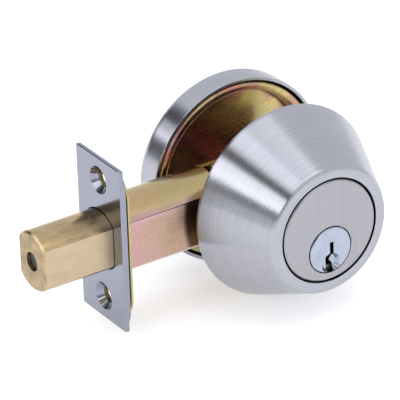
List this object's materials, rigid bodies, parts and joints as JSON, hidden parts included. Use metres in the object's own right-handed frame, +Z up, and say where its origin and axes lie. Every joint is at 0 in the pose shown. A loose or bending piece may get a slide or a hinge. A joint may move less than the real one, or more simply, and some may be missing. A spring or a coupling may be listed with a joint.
{
  "type": "deadbolt door lock",
  "caption": "Tubular deadbolt: a square faceplate with a thrown brass bolt, tapered keyed cylinder outside and thumbturn rose inside, joined through a cross bore.",
  "frame": {"origin": "centre of the faceplate's outer face, on the bolt's axis, where the bolt leaves the lock", "axes": "+X into the door along the bolt's axis, so the bolt is thrown towards -X; +Z up; -Y is the keyed outside and +Y the thumbturn side"},
  "size_m": [0.1184, 0.0806, 0.0654],
  "materials": {
    "satin_chrome_plate": "satin chrome plated sheet",
    "yellow_zinc": "yellow zinc chromate on steel",
    "yellow_zinc_case": "yellow zinc chromate, pink and tan",
    "yellow_zinc_cover": "yellow zinc chromate, olive yellow",
    "steel": "bright zinc steel",
    "spring_steel": "spring steel",
    "solid_brass": "machined solid brass, satin",
    "hardened_steel": "hardened steel, dark",
    "yellow_zinc_mechanism": "yellow zinc chromate on steel",
    "satin_chrome": "satin chrome, brushed round its axis",
    "zinc_steel": "yellow zinc steel",
    "satin_chrome_face": "satin chrome face disc, brushed; plain die casting behind",
    "brass": "machined brass",
    "bright_nickel": "bright nickel over brass",
    "satin_chrome_screws": "satin chrome machine screws",
    "satin_chrome_rose": "satin chrome, brushed round its axis",
    "yellow_zinc_pan": "yellow zinc chromate, iridescent",
    "nylon": "natural nylon",
    "satin_chrome_thumbturn": "satin chrome casting"
  },
  "bodies": {
    "lock": {"faceplate": "satin_chrome_plate", "backplate": "yellow_zinc", "latch_case": "yellow_zinc_case", "case_cover": "yellow_zinc_cover", "case_rivets": "steel", "cam_spring": "spring_steel", "collar": "satin_chrome", "collar_liner": "zinc_steel", "cylinder_housing": "satin_chrome_face", "pin_chamber_cover": "brass", "driver_pins": "brass", "pin_springs": "spring_steel", "mounting_posts": "steel", "mounting_screws": "satin_chrome_screws", "rose": "satin_chrome_rose", "mounting_plate": "yellow_zinc_pan", "spindle_bushing": "nylon", "wave_washer": "spring_steel"},
    "bolt_body": {"bolt": "solid_brass", "bolt_tail": "yellow_zinc_mechanism", "tail_rivet": "steel"},
    "saw_pin": {"anti_saw_pin": "hardened_steel"},
    "turn": {"cam": "yellow_zinc_mechanism", "cam_pin": "steel", "tailpiece": "steel", "spindle": "steel", "spindle_clip": "spring_steel", "thumbturn": "satin_chrome_thumbturn"},
    "plug": {"key_plug": "bright_nickel", "key_pins": "brass", "plug_clip": "spring_steel", "tailpiece_cap": "steel"}
  },
  "joints": [
    {"name": "thumb_turn", "type": "hinge", "parent": "lock", "child": "turn", "pos_m": [0.0603, 0, -0.0067], "axis": [0, 1, 0], "range_deg": [0, 90]},
    {"name": "bolt_throw", "type": "slide", "parent": "lock", "child": "bolt_body", "axis": [1, 0, 0], "range_m": [0, 0.0254]},
    {"name": "plug_turn", "type": "hinge", "parent": "lock", "child": "plug", "pos_m": [0.0603, 0, -0.0067], "axis": [0, 1, 0], "range_deg": [0, 90]},
    {"name": "saw_pin_spin", "type": "hinge", "parent": "bolt_body", "child": "saw_pin", "pos_m": [-0.0137, 0, 0], "axis": [1, 0, 0], "continuous": true}
  ],
  "couplings": [
    {"joint": "thumb_turn", "follows": "bolt_throw", "rad_per_m": 61.842},
    {"joint": "plug_turn", "follows": "bolt_throw", "rad_per_m": 61.842}
  ]
}
